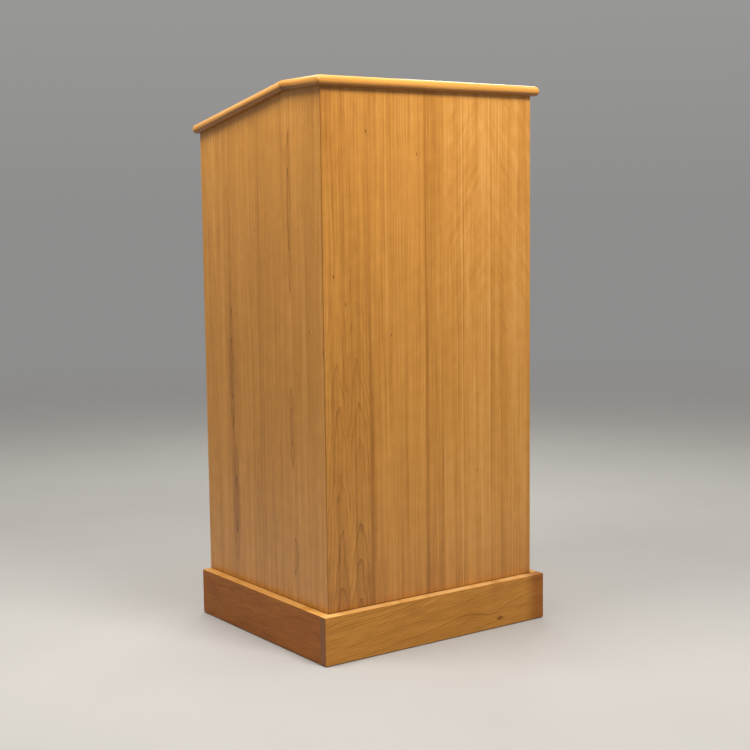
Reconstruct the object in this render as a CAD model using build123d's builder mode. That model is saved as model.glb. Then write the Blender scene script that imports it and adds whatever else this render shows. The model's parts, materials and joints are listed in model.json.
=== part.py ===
from build123d import *
import os
from math import cos, radians, sin, tan

# Presentation lectern: a veneered cherry cabinet on a plinth, with a part-level, part-sloped
# top, an open compartment for the speaker and a two-door cupboard below it.
# Millimetres, +Z up. The audience looks at the face on -Y and the speaker stands on +Y.
# The origin is on the floor, at the middle of the cabinet's footprint.
# Left is -X and right is +X, as the audience sees them.

# ---------------------------------------------------------------- driving dimensions
total_height = 1168.0      # floor to the level part of the top
body_width = 541.0
body_depth = 483.0
panel = 19.0               # veneered board
board = 20.6               # planed solid cherry
lipping = 6.0              # solid strip on a board's edge
floor_gap = 2.0            # the woodwork stands this far off the floor, on its glides
arris = 1.0                # width of the flat that takes the sharpness off a corner

plinth_height = 101.0
block_leg = 62.0           # short sides of a triangular corner block
glide_radius = 11.0
glide_height = 3.0
glide_nail_radius = 1.25
glide_nail_top = 18.0

top_thickness = 21.0
overhang = 15.0            # of the top past the cabinet's front and sides
rear_overhang = 10.0
nosing_width = 30.0        # of the half-round solid edging
level_depth = 124.0        # from the front face to the break in the top's underside
slope_angle = 10.5
reading_recess = 6.0       # of the reading panel below its edging
cleat = 20.0
rail_height = 46.0         # of the rail over the speaker's opening
rail_easing = 3.0          # radius of its lower edges

shelf_groove = 6.0         # housing in the sides for a fixed board
fixed_shelf_z = 842.0      # underside
adjustable_shelf_z = 474.0
shelf_end_gap = 1.0
shelf_setback = 36.0       # adjustable shelf's rear edge in front of the cabinet's
shelf_front_gap = 3.0
pin_hole_radius = 2.5
pin_hole_depth = 10.0
pin_nose_radius = 3.5
pin_nose_length = 9.0
pin_column_spacing = 300.0
pin_row_pitch = 32.0
pin_rows = 15
body_gap = 0.3             # between bodies that move against each other

door_gap = 2.0             # round each door
meeting_gap = 3.0          # between the two doors
glue_line = 0.05           # between the strips of a door's lipping
knob_radius = 14.0
knob_height = 640.0
knob_inset = 34.0          # knob's centre from the door's free edge

hinge_length = 64.0
hinge_end = 90.0           # hinge's centre from the door's end
leaf = 1.5
leaf_width = 25.0
knuckle_radius = 3.0
knuckles = 5
hinge_pin_radius = 1.45
hinge_pin_clearance = 0.05

catch_length = 44.0
catch_depth = 15.0
catch_height = 13.0
catch_x = 50.0
catch_screw_offset = 3.0   # of the screws, behind the housing's middle
catch_screw_reach = 18.0   # of a screw from the housing's middle
strike = 1.2

cleat_screw_margin = 65.0  # from a side cleat's ends to its outer screws
front_screw_pitch = 160.0
side_screw_pitch = 130.0
level_screw_reach = 110.0  # of a screw through the front cleat from the middle
slope_screw_steps = (60.0, 170.0, 290.0)   # down the slope from the break
leaf_screw_pitch = 22.0
leaf_screw_setback = 14.0  # from the cabinet's rear
small_chamfer = 0.8
spare_length = 40.0        # of a moulding past its mitre, before it is cut off

# ---------------------------------------------------------------- places worked out
x_out = body_width / 2
x_in = x_out - panel
y_front = -body_depth / 2
y_rear = body_depth / 2
y_in = y_front + panel
y_core = y_rear - lipping                 # rear edge of a board before its lipping
x_top = x_out + overhang
x_plinth = x_out + board
top_underside = total_height - top_thickness
nose_radius = top_thickness / 2
y_break = y_front + level_depth
slope = radians(slope_angle)
bottom_z = plinth_height - panel

slope_normal = (0, sin(slope), cos(slope))
slope_down = (0, cos(slope), -sin(slope))
slope_plane = Plane(origin=(0, y_break, top_underside), x_dir=(1, 0, 0), z_dir=slope_normal)
break_plane = Plane(
    origin=(0, y_break, top_underside),
    x_dir=(1, 0, 0),
    z_dir=(0, cos(slope / 2), -sin(slope / 2)),
)
# Along the slope, from the break to the outermost line of the rear nosing.
slope_length = (
    (y_rear + rear_overhang - nose_radius - y_break - nose_radius * sin(slope)) / cos(slope)
    + nose_radius
)

door_width = (2 * x_in - 2 * door_gap - meeting_gap) / 2
door_bottom = plinth_height + door_gap
door_top = fixed_shelf_z - door_gap
x_door = x_in - door_gap                  # hinged edge
hinge_x = x_in - door_gap / 2
hinge_y = y_rear + knuckle_radius + body_gap
hinge_heights = (door_bottom + hinge_end, door_top - hinge_end)
y_door_in = y_rear - panel
knob_x = meeting_gap / 2 + knob_inset
knob_reach = board                        # the knobs stand out as far as the plinth does
catch_face = y_door_in - strike - body_gap


def underside(y):
    """Height of the top's underside over a line at y."""
    return top_underside - max(0.0, y - y_break) * tan(slope)


def mitre_plane(side):
    """The 45 degree plane through a front corner, facing the side panel."""
    return Plane(origin=(side * x_out, y_front, 0), x_dir=(0, 0, 1), z_dir=(side, 1, 0))


def arris_plane(side):
    """The plane that flattens a front corner's edge, facing the cabinet's inside."""
    return Plane(
        origin=(side * (x_out - arris), y_front, 0), x_dir=(0, 0, 1), z_dir=(-side, 1, 0)
    )


def rear_mitre_plane(side):
    """The mitre of the sloped edging at a rear corner, facing the side run."""
    corner = slope_plane.from_local_coords((side * x_top, slope_length, 0))
    return Plane(
        origin=corner, x_dir=slope_normal, z_dir=(side, -cos(slope), sin(slope))
    )


def save(piece, name):
    """Labels a finished piece and writes it as one STEP file."""
    piece.part.label = name
    export_step(piece.part, f"parts/{name}.step")


# ---------------------------------------------------------------- screws
# A screw's place is a plane: its origin is the middle of the head's flat face, and the screw
# runs against the plane's normal.
cleat_screw = {"radius": 2.0, "head": 4.0, "length": 30.0}
plinth_screw = {"radius": 2.2, "head": 4.4, "length": 32.0}
leaf_screw = {"radius": 1.4, "head": 2.8, "length": 16.0}
catch_screw = {"radius": 1.3, "head": 2.6, "length": 18.0}


def screw_holes(places, screw):
    """Cuts countersunk holes for these screws out of the piece being made."""
    with Locations(*places):
        CounterSinkHole(
            radius=screw["radius"],
            counter_sink_radius=screw["head"],
            depth=screw["length"],
            counter_sink_angle=90,
        )


def wood_screws(places, screw):
    """Countersunk cross-head screws with conical points, one solid for each place."""
    radius, head, length = screw["radius"], screw["head"], screw["length"]
    cone = head - radius
    point = 2 * radius
    recess = 0.45 * head       # half the width of the cross, and its depth
    tip = 0.15
    from_top = (Align.CENTER, Align.CENTER, Align.MAX)
    with BuildPart() as screws:
        with Locations(*places):
            Cylinder(radius, length - point, align=from_top)
            Cone(bottom_radius=radius, top_radius=head, height=cone, align=from_top)
            with Locations((0, 0, point - length)):
                Cone(bottom_radius=tip, top_radius=radius, height=point, align=from_top)
            for width, depth in ((2 * recess, recess / 2), (recess / 2, 2 * recess)):
                Box(width, depth, recess, align=from_top, mode=Mode.SUBTRACT)
    return screws


def facing(axis, points):
    """Screw places whose heads face along axis, at these points."""
    return [Plane(origin=point, z_dir=axis) for point in points]


cleat_ys = (y_in + cleat_screw_margin, 0, y_core - cleat_screw_margin)
front_xs = (-front_screw_pitch, 0, front_screw_pitch)
plinth_ys = (-side_screw_pitch, 0, side_screw_pitch)
side_cleat_screws = {
    side: facing(
        (-side, 0, 0),
        [(side * (x_in - cleat), y, underside(y) - cleat / 2) for y in cleat_ys],
    )
    for side in (-1, 1)
}
front_cleat_screws = facing(
    (0, 1, 0), [(x, y_in + cleat, top_underside - cleat / 2) for x in front_xs]
)
level_top_screws = facing(
    (0, 0, -1),
    [(side * level_screw_reach, y_in + cleat / 2, top_underside - cleat) for side in (-1, 1)],
)
slope_top_screws = {
    side: [
        Plane(
            origin=slope_plane.from_local_coords((side * (x_in - cleat / 2), along, -cleat)),
            z_dir=(0, -sin(slope), -cos(slope)),
        )
        for along in slope_screw_steps
    ]
    for side in (-1, 1)
}
plinth_front_screws = facing((0, 1, 0), [(x, y_in, plinth_height / 2) for x in front_xs])
plinth_side_screws = {
    side: facing((-side, 0, 0), [(side * x_in, y, plinth_height / 2) for y in plinth_ys])
    for side in (-1, 1)
}
leaf_screw_y = y_rear - leaf_screw_setback
leaf_screw_zs = [
    z + row for z in hinge_heights for row in (-leaf_screw_pitch, 0, leaf_screw_pitch)
]
frame_leaf_places = {
    side: facing((-side, 0, 0), [(side * x_in, leaf_screw_y, z) for z in leaf_screw_zs])
    for side in (-1, 1)
}
door_leaf_places = {
    side: facing((side, 0, 0), [(side * x_door, leaf_screw_y, z) for z in leaf_screw_zs])
    for side in (-1, 1)
}
catch_screw_y = catch_face - catch_depth / 2 - catch_screw_offset
catch_places = facing(
    (0, 0, -1),
    [
        (side * catch_x + reach, catch_screw_y, fixed_shelf_z - catch_height)
        for side in (-1, 1)
        for reach in (-catch_screw_reach, catch_screw_reach)
    ],
)
# Only the end of a top screw enters the top, so these are shorter than the cleats' own.
top_screw = {"radius": 2.0, "head": 4.0, "length": 32.0}


# ---------------------------------------------------------------- cabinet panels
with BuildPart() as front_panel:
    with BuildSketch(Plane.XY.offset(floor_gap)):
        with Locations((0, y_front)):
            Rectangle(body_width, panel, align=(Align.CENTER, Align.MIN))
    extrude(amount=top_underside - floor_gap)
    for side in (-1, 1):
        split(bisect_by=mitre_plane(side), keep=Keep.BOTTOM)
        split(bisect_by=arris_plane(side), keep=Keep.TOP)
    screw_holes(front_cleat_screws, cleat_screw)
    screw_holes(plinth_front_screws, plinth_screw)
save(front_panel, "front_panel")


def hinge_mortise(side, x_face, outwards):
    """Cuts the two shallow beds for hinge leaves, from x_face into the wood."""
    for z in hinge_heights:
        with Locations((side * (x_face + outwards * leaf / 2), y_rear - leaf_width / 2, z)):
            Box(leaf, leaf_width, hinge_length, mode=Mode.SUBTRACT)


def side_panel(side):
    """A side of the cabinet, up to its rear lipping, with its housings and pin holes."""
    with BuildPart() as sheet:
        with BuildSketch(Plane.YZ.offset(side * x_out)):
            with BuildLine():
                Polyline(
                    (y_front, floor_gap),
                    (y_core, floor_gap),
                    (y_core, underside(y_core)),
                    (y_break, top_underside),
                    (y_front, top_underside),
                    close=True,
                )
            make_face()
        extrude(amount=-side * panel)
        split(bisect_by=mitre_plane(side), keep=Keep.TOP)
        split(bisect_by=arris_plane(side), keep=Keep.TOP)
        for z in (bottom_z, fixed_shelf_z):
            with Locations((side * (x_in + shelf_groove / 2), (y_in + y_core) / 2, z + panel / 2)):
                Box(shelf_groove, y_core - y_in, panel, mode=Mode.SUBTRACT)
        pin_field = Plane(
            origin=(side * x_in, 0, adjustable_shelf_z - pin_nose_radius - body_gap),
            x_dir=(0, 1, 0),
            z_dir=(-side, 0, 0),
        )
        with Locations(pin_field):
            with GridLocations(pin_column_spacing, pin_row_pitch, 2, pin_rows):
                Hole(radius=pin_hole_radius, depth=pin_hole_depth)
        hinge_mortise(side, x_in, 1)
        screw_holes(frame_leaf_places[side], leaf_screw)
        screw_holes(side_cleat_screws[side], cleat_screw)
        screw_holes(plinth_side_screws[side], plinth_screw)
    return sheet


def rear_lipping(side):
    """Solid strip on a side panel's rear edge, with its corners eased."""
    with BuildPart() as strip:
        with BuildSketch(Plane.YZ.offset(side * x_out)):
            with BuildLine():
                Polyline(
                    (y_core, floor_gap),
                    (y_rear, floor_gap),
                    (y_rear, underside(y_rear)),
                    (y_core, underside(y_core)),
                    close=True,
                )
            make_face()
        extrude(amount=-side * panel)
        fillet(strip.edges().filter_by(Axis.Z).group_by(Axis.Y)[-1], radius=arris)
        hinge_mortise(side, x_in, 1)
    return strip


for side, word in ((-1, "left"), (1, "right")):
    save(side_panel(side), f"{word}_side_panel")
    save(rear_lipping(side), f"{word}_rear_lipping")


# ---------------------------------------------------------------- shelves
def housed_board(z, screw_places):
    """A fixed board whose ends sit in the sides' housings."""
    with BuildPart() as core:
        with BuildSketch(Plane.XY.offset(z)):
            with Locations((0, y_in)):
                Rectangle(
                    2 * (x_in + shelf_groove), y_core - y_in, align=(Align.CENTER, Align.MIN)
                )
        extrude(amount=panel)
        if screw_places:
            screw_holes(screw_places, catch_screw)
    return core


def shelf_lipping(z, y, length):
    """Solid strip on a shelf's rear edge, with its long outer edges eased."""
    with BuildPart() as strip:
        with BuildSketch(Plane.XY.offset(z)):
            with Locations((0, y)):
                Rectangle(length, lipping, align=(Align.CENTER, Align.MIN))
        extrude(amount=panel)
        fillet(strip.edges().filter_by(Axis.X).group_by(Axis.Y)[-1], radius=arris)
    return strip


save(housed_board(bottom_z, []), "bottom_panel")
save(shelf_lipping(bottom_z, y_core, 2 * x_in), "bottom_panel_lipping")
save(housed_board(fixed_shelf_z, catch_places), "fixed_shelf")
save(shelf_lipping(fixed_shelf_z, y_core, 2 * x_in), "fixed_shelf_lipping")

shelf_length = 2 * (x_in - shelf_end_gap)
shelf_front = y_in + shelf_front_gap
shelf_rear = y_rear - shelf_setback
with BuildPart() as adjustable_shelf:
    with BuildSketch(Plane.XY.offset(adjustable_shelf_z)):
        with Locations((0, shelf_front)):
            Rectangle(
                shelf_length, shelf_rear - lipping - shelf_front, align=(Align.CENTER, Align.MIN)
            )
    extrude(amount=panel)
save(adjustable_shelf, "adjustable_shelf")
save(
    shelf_lipping(adjustable_shelf_z, shelf_rear - lipping, shelf_length),
    "adjustable_shelf_lipping",
)

pin_z = adjustable_shelf_z - pin_nose_radius - body_gap
pin_places = [
    Plane(origin=(side * x_in, column, pin_z), z_dir=(-side, 0, 0))
    for side in (-1, 1)
    for column in (-pin_column_spacing / 2, pin_column_spacing / 2)
]
with BuildPart() as shelf_pins:
    with Locations(*pin_places):
        Cylinder(
            pin_hole_radius, pin_hole_depth, align=(Align.CENTER, Align.CENTER, Align.MAX)
        )
        Cylinder(
            pin_nose_radius, pin_nose_length, align=(Align.CENTER, Align.CENTER, Align.MIN)
        )
    noses = shelf_pins.edges().filter_by(GeomType.CIRCLE).group_by(SortBy.RADIUS)[-1]
    chamfer(
        noses.filter_by(lambda edge: abs(edge.center().X) < x_in - 1), length=small_chamfer
    )
save(shelf_pins, "shelf_pins")


# ---------------------------------------------------------------- top
def nosing(profile_plane, reach, cuts):
    """Half-round solid edging along the plane's normal, cut off by its mitre planes.

    The plane's origin is the inner bottom edge, its x runs out to the nose and its y up.
    """
    with BuildPart() as moulding:
        with BuildSketch(profile_plane):
            Rectangle(
                nosing_width - nose_radius, top_thickness, align=(Align.MIN, Align.MIN)
            )
            with Locations((nosing_width - nose_radius, nose_radius)):
                Circle(nose_radius)
        extrude(amount=reach, both=True)
        for plane, kept in cuts:
            split(bisect_by=plane, keep=kept)
    return moulding


front_edge = Plane(
    origin=(0, y_front - overhang + nosing_width, top_underside),
    x_dir=(0, -1, 0),
    z_dir=(-1, 0, 0),
)
front_cuts = [(mitre_plane(side), Keep.BOTTOM) for side in (-1, 1)]
save(nosing(front_edge, x_top + spare_length, front_cuts), "top_front_nosing")

rear_edge = Plane(
    origin=slope_plane.from_local_coords((0, slope_length - nosing_width, 0)),
    x_dir=slope_down,
    z_dir=(1, 0, 0),
)
rear_cuts = [(rear_mitre_plane(side), Keep.BOTTOM) for side in (-1, 1)]
save(nosing(rear_edge, x_top + spare_length, rear_cuts), "top_rear_nosing")

for side, word in ((-1, "left"), (1, "right")):
    level_edge = Plane(
        origin=(side * (x_top - nosing_width), y_break, top_underside),
        x_dir=(side, 0, 0),
        z_dir=(0, -side, 0),
    )
    level_cuts = [(mitre_plane(side), Keep.TOP), (break_plane, Keep.BOTTOM)]
    save(nosing(level_edge, level_depth + spare_length, level_cuts), f"top_{word}_level_nosing")
    slope_edge = Plane(
        origin=slope_plane.from_local_coords((side * (x_top - nosing_width), 0, 0)),
        x_dir=(side, 0, 0),
        z_dir=(0, -side * cos(slope), side * sin(slope)),
    )
    slope_cuts = [(rear_mitre_plane(side), Keep.TOP), (break_plane, Keep.TOP)]
    save(nosing(slope_edge, slope_length + spare_length, slope_cuts), f"top_{word}_slope_nosing")

inner_width = 2 * (x_top - nosing_width)
with BuildPart() as level_top_panel:
    with BuildSketch(Plane.XY.offset(top_underside)):
        with Locations((0, y_front - overhang + nosing_width)):
            Rectangle(inner_width, level_depth, align=(Align.CENTER, Align.MIN))
    extrude(amount=top_thickness)
    split(bisect_by=break_plane, keep=Keep.BOTTOM)
    screw_holes(level_top_screws, top_screw)
save(level_top_panel, "level_top_panel")

with BuildPart() as reading_panel:
    with BuildSketch(slope_plane):
        with Locations((0, slope_length - nosing_width)):
            Rectangle(inner_width, slope_length, align=(Align.CENTER, Align.MAX))
    extrude(amount=top_thickness - reading_recess)
    split(bisect_by=break_plane, keep=Keep.TOP)
    for side in (-1, 1):
        screw_holes(slope_top_screws[side], top_screw)
save(reading_panel, "reading_panel")

# Cleats inside the cabinet hold the top: one across the front, one down each side.
with BuildPart() as front_top_cleat:
    with BuildSketch(Plane.XY.offset(top_underside - cleat)):
        with Locations((0, y_in)):
            Rectangle(2 * (x_in - cleat), cleat, align=(Align.CENTER, Align.MIN))
    extrude(amount=cleat)
    screw_holes(front_cleat_screws, cleat_screw)
    screw_holes(level_top_screws, top_screw)
save(front_top_cleat, "front_top_cleat")


def top_cleat(side):
    """A side cleat, bent at the break like the top that it carries."""
    y_end = y_rear - board
    with BuildPart() as strip:
        with BuildSketch(Plane.YZ.offset(side * x_in)):
            with BuildLine():
                Polyline(
                    (y_in, top_underside - cleat),
                    (y_break, top_underside - cleat),
                    (y_end, underside(y_end) - cleat),
                    (y_end, underside(y_end)),
                    (y_break, top_underside),
                    (y_in, top_underside),
                    close=True,
                )
            make_face()
        extrude(amount=-side * cleat)
        screw_holes(side_cleat_screws[side], cleat_screw)
        screw_holes(slope_top_screws[side], top_screw)
    return strip


for side, word in ((-1, "left"), (1, "right")):
    save(top_cleat(side), f"{word}_top_cleat")

rail_front = y_rear - board
rail_bottom = underside(y_rear) - rail_height
with BuildPart() as rear_top_rail:
    with BuildSketch(Plane.YZ.offset(-x_in)):
        with BuildLine():
            Polyline(
                (rail_front, rail_bottom),
                (y_rear, rail_bottom),
                (y_rear, underside(y_rear)),
                (rail_front, underside(rail_front)),
                close=True,
            )
        make_face()
    extrude(amount=2 * x_in)
    fillet(rear_top_rail.edges().filter_by(Axis.X).group_by(Axis.Z)[0], radius=rail_easing)
save(rear_top_rail, "rear_top_rail")

save(
    wood_screws(side_cleat_screws[-1] + side_cleat_screws[1] + front_cleat_screws, cleat_screw),
    "cleat_screws",
)
save(
    wood_screws(slope_top_screws[-1] + slope_top_screws[1] + level_top_screws, top_screw),
    "top_screws",
)

# ---------------------------------------------------------------- plinth and base
with BuildPart() as plinth_front:
    with BuildSketch(Plane.XY.offset(floor_gap)):
        with Locations((0, y_front)):
            Rectangle(2 * x_plinth, board, align=(Align.CENTER, Align.MAX))
    extrude(amount=plinth_height - floor_gap)
    outer = plinth_front.edges().filter_by(Axis.X).group_by(Axis.Z)[-1].sort_by(Axis.Y)[0]
    ends = plinth_front.edges().filter_by(Axis.Y).group_by(Axis.Z)[-1]
    corners = plinth_front.edges().filter_by(Axis.Z).group_by(Axis.Y)[0]
    fillet([outer, *ends, *corners], radius=arris)
    screw_holes(plinth_front_screws, plinth_screw)
save(plinth_front, "plinth_front")

for side, word in ((-1, "left"), (1, "right")):
    with BuildPart() as plinth_side:
        with BuildSketch(Plane.XY.offset(floor_gap)):
            with Locations((side * (x_out + board / 2), 0)):
                Rectangle(board, body_depth)
        extrude(amount=plinth_height - floor_gap)
        top_edges = plinth_side.edges().filter_by(Axis.Y).group_by(Axis.Z)[-1]
        fillet(top_edges.sort_by(Axis.X)[-1 if side > 0 else 0], radius=arris)
        screw_holes(plinth_side_screws[side], plinth_screw)
    save(plinth_side, f"plinth_{word}")

save(
    wood_screws(
        plinth_side_screws[-1] + plinth_side_screws[1] + plinth_front_screws, plinth_screw
    ),
    "plinth_screws",
)

with BuildPart() as rear_toe_rail:
    with BuildSketch(Plane.XY.offset(floor_gap)):
        with Locations((0, y_rear)):
            Rectangle(2 * x_in, board, align=(Align.CENTER, Align.MAX))
    extrude(amount=bottom_z - floor_gap)
save(rear_toe_rail, "rear_toe_rail")

# Triangular blocks glued in the four corners under the bottom panel take the nail-on glides.
corner_ys = {-1: y_in, 1: rail_front}
block_centre = 0.3 * block_leg            # of a block, from each wall of its corner
on_floor = (Align.CENTER, Align.CENTER, Align.MIN)
glide_points = []
with BuildPart() as corner_blocks:
    for side in (-1, 1):
        for end in (-1, 1):
            x_corner = side * x_in
            y_corner = corner_ys[end]
            with BuildSketch(Plane.XY.offset(glide_height)):
                with BuildLine():
                    Polyline(
                        (x_corner, y_corner),
                        (x_corner - side * block_leg, y_corner),
                        (x_corner, y_corner - end * block_leg),
                        close=True,
                    )
                make_face()
            extrude(amount=bottom_z - glide_height)
            glide_points.append(
                (x_corner - side * block_centre, y_corner - end * block_centre, 0)
            )
    with Locations(*glide_points):
        Cylinder(glide_nail_radius, glide_nail_top, align=on_floor, mode=Mode.SUBTRACT)
save(corner_blocks, "corner_blocks")

with BuildPart() as glides:
    with Locations(*glide_points):
        Cylinder(glide_radius, glide_height, align=on_floor)
        Cylinder(glide_nail_radius, glide_nail_top, align=on_floor)
    chamfer(glides.edges().group_by(Axis.Z)[0], length=small_chamfer)
save(glides, "glides")


# ---------------------------------------------------------------- hinges
hinge_pin_end = 1.0        # of a pin past its knuckles
hinge_pin_rounding = 0.6
knuckle_pitch = hinge_length / knuckles


def leaf_plates(side, x_face, outwards, segments, bore):
    """The two leaves of a door's hinges that share a body, each with its own knuckles.

    x_face is the leaf's face in the gap, outwards is 1 for a leaf in the cabinet and -1 in
    the door, and segments are the numbers of its knuckles, from the bottom up.
    """
    x_middle = side * (x_face + outwards * leaf / 2)
    trim = body_gap / 2
    with BuildPart() as leaves:
        for z in hinge_heights:
            with Locations((x_middle, y_rear, z)):
                Box(
                    leaf, leaf_width, hinge_length,
                    align=(Align.CENTER, Align.MAX, Align.CENTER),
                )
            for segment in segments:
                base = z - hinge_length / 2 + segment * knuckle_pitch + trim
                with BuildSketch(Plane.XY.offset(base)):
                    with Locations((x_middle, y_rear)):
                        Rectangle(leaf, hinge_y - y_rear, align=(Align.CENTER, Align.MIN))
                    with Locations((side * hinge_x, hinge_y)):
                        Circle(knuckle_radius)
                        Circle(bore, mode=Mode.SUBTRACT)
                extrude(amount=knuckle_pitch - 2 * trim)
        places = frame_leaf_places[side] if outwards > 0 else door_leaf_places[side]
        screw_holes(places, leaf_screw)
    return leaves


def hinge_pins(side):
    """The pins of one door's two hinges, with small rounded ends."""
    with BuildPart() as pins:
        with Locations(*[(side * hinge_x, hinge_y, z) for z in hinge_heights]):
            Cylinder(hinge_pin_radius, hinge_length + 2 * hinge_pin_end)
        fillet(pins.edges().filter_by(GeomType.CIRCLE), radius=hinge_pin_rounding)
    return pins


for side, word in ((-1, "left"), (1, "right")):
    save(
        leaf_plates(side, x_in, 1, (0, 2, 4), hinge_pin_radius),
        f"{word}_hinge_frame_leaves",
    )
    save(
        leaf_plates(side, x_door, -1, (1, 3), hinge_pin_radius + hinge_pin_clearance),
        f"{word}_hinge_door_leaves",
    )
    save(hinge_pins(side), f"{word}_hinge_pins")
    save(wood_screws(door_leaf_places[side], leaf_screw), f"{word}_door_leaf_screws")
save(
    wood_screws(frame_leaf_places[-1] + frame_leaf_places[1], leaf_screw), "frame_leaf_screws"
)

# ---------------------------------------------------------------- doors
knob_foot_radius = 9.0
knob_foot_height = 1.5
knob_waist_radius = 6.5
knob_waist_height = 6.5
knob_widest_height = 14.0
knob_bolt_radius = 2.0
knob_bolt_head_radius = 4.5
knob_bolt_head_height = 2.4
knob_bolt_head_rounding = 1.0
knob_bore_depth = 10.0
knob_bore_spare = 0.5      # of the bore past the bolt's end
strike_length = 36.0
strike_height = 9.0
strike_corner = 2.0
strike_z = door_top - strike_height / 2
strike_screw = {"radius": 1.2, "head": 2.4, "length": 13.0}


def strike_place(side):
    """Where the strike's one screw goes, with its head facing into the cupboard."""
    return facing((0, -1, 0), [(side * catch_x, y_door_in - strike, strike_z)])


def door_panel(side):
    """Veneered core of a door, bored for its knob."""
    x_middle = side * (x_door - door_width / 2)
    with BuildPart() as core:
        with BuildSketch(Plane.XY.offset(door_bottom + lipping)):
            with Locations((x_middle, y_rear)):
                Rectangle(
                    door_width - 2 * lipping, panel, align=(Align.CENTER, Align.MAX)
                )
        extrude(amount=door_top - door_bottom - 2 * lipping)
        with Locations(Plane(origin=(side * knob_x, y_rear, knob_height), z_dir=(0, 1, 0))):
            Hole(radius=knob_bolt_radius)
        hinge_mortise(side, x_door, -1)
        screw_holes(door_leaf_places[side], leaf_screw)
        screw_holes(strike_place(side), strike_screw)
    return core


def door_lipping(side):
    """Solid strips glued round a door: two at full height, and two short ones between them."""
    x_middle = side * (x_door - door_width / 2)
    z_middle = (door_bottom + door_top) / 2
    height = door_top - door_bottom
    short = door_width - 2 * (lipping + glue_line)
    strips = []
    for end in (-1, 1):
        strips.append(((x_middle + end * (door_width - lipping) / 2, z_middle), lipping, height))
        strips.append(((x_middle, z_middle + end * (height - lipping) / 2), short, lipping))
    with BuildPart() as edges:
        for (x, z), width, tall in strips:
            with Locations((x, y_rear - panel / 2, z)):
                Box(width, panel, tall)
        rim = edges.edges().filter_by(Axis.Z).group_by(Axis.Y)[-1]
        chamfer([rim.sort_by(Axis.X)[0], rim.sort_by(Axis.X)[-1]], length=arris / 2)
        hinge_mortise(side, x_door, -1)
        screw_holes(door_leaf_places[side], leaf_screw)
        screw_holes(strike_place(side), strike_screw)
    return edges


def knob(side):
    """Turned knob: a foot, a waist and a domed head, drilled for its bolt."""
    foot = (knob_foot_radius, knob_foot_height)
    widest = (knob_radius, knob_widest_height)
    profile = Plane(
        origin=(side * knob_x, y_rear, knob_height), x_dir=(1, 0, 0), z_dir=(0, 0, 1)
    )
    with BuildPart() as turning:
        with BuildSketch(profile):
            with BuildLine():
                Line((0, 0), (knob_foot_radius, 0))
                Line((knob_foot_radius, 0), foot)
                Spline(
                    foot, (knob_waist_radius, knob_waist_height), widest,
                    tangents=((-0.6, 1), (0.15, 1)),
                )
                Spline(widest, (0, knob_reach), tangents=((-0.1, 1), (-1, 0)))
                Line((0, knob_reach), (0, 0))
            make_face()
        revolve(axis=Axis((side * knob_x, y_rear, knob_height), (0, 1, 0)))
        with Locations(Plane(origin=(side * knob_x, y_rear, knob_height), z_dir=(0, -1, 0))):
            Hole(radius=knob_bolt_radius, depth=knob_bore_depth)
    return turning


def knob_bolt(side):
    """Pan-headed machine screw from the inside of the door into its knob."""
    start = Plane(origin=(side * knob_x, y_door_in, knob_height), z_dir=(0, -1, 0))
    with BuildPart() as bolt:
        with Locations(start):
            Cylinder(
                knob_bolt_radius, panel + knob_bore_depth - knob_bore_spare,
                align=(Align.CENTER, Align.CENTER, Align.MAX),
            )
            Cylinder(
                knob_bolt_head_radius, knob_bolt_head_height,
                align=(Align.CENTER, Align.CENTER, Align.MIN),
            )
        rim = bolt.edges().filter_by(GeomType.CIRCLE).sort_by(Axis.Y)[0]
        fillet(rim, radius=knob_bolt_head_rounding)
    return bolt


def strike_plate(side):
    """Steel plate on the door's inner face, opposite the magnet."""
    with BuildPart() as plate:
        with Locations((side * catch_x, y_door_in - strike / 2, strike_z)):
            Box(strike_length, strike, strike_height)
        fillet(plate.edges().filter_by(Axis.Y), radius=strike_corner)
        screw_holes(strike_place(side), strike_screw)
    return plate


for side, word in ((-1, "left"), (1, "right")):
    save(door_panel(side), f"{word}_door_panel")
    save(door_lipping(side), f"{word}_door_lipping")
    save(knob(side), f"{word}_knob")
    save(knob_bolt(side), f"{word}_knob_bolt")
    save(strike_plate(side), f"{word}_strike_plate")
    save(wood_screws(strike_place(side), strike_screw), f"{word}_strike_screw")

# ---------------------------------------------------------------- magnetic catches
catch_corner = 2.5
magnet_length = 24.0
magnet_height = 7.0
magnet_depth = 9.0
magnet_z = fixed_shelf_z - catch_height / 2
catch_middles = [(side * catch_x, catch_face, magnet_z) for side in (-1, 1)]
with BuildPart() as catch_housings:
    with Locations(*catch_middles):
        Box(
            catch_length, catch_depth, catch_height,
            align=(Align.CENTER, Align.MAX, Align.CENTER),
        )
    fillet(catch_housings.edges().filter_by(Axis.Z), radius=catch_corner)
    with Locations(*catch_middles):
        Box(
            magnet_length, magnet_depth, magnet_height,
            align=(Align.CENTER, Align.MAX, Align.CENTER), mode=Mode.SUBTRACT,
        )
    screw_holes(catch_places, catch_screw)
save(catch_housings, "catch_housings")

with BuildPart() as catch_magnets:
    with Locations(*catch_middles):
        Box(
            magnet_length, magnet_depth, magnet_height,
            align=(Align.CENTER, Align.MAX, Align.CENTER),
        )
save(catch_magnets, "catch_magnets")
save(wood_screws(catch_places, catch_screw), "catch_screws")
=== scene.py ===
import json
from math import atan2, cos, pi, radians, sin, tan

import bmesh
import bpy
from mathutils import Matrix, Vector


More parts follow.
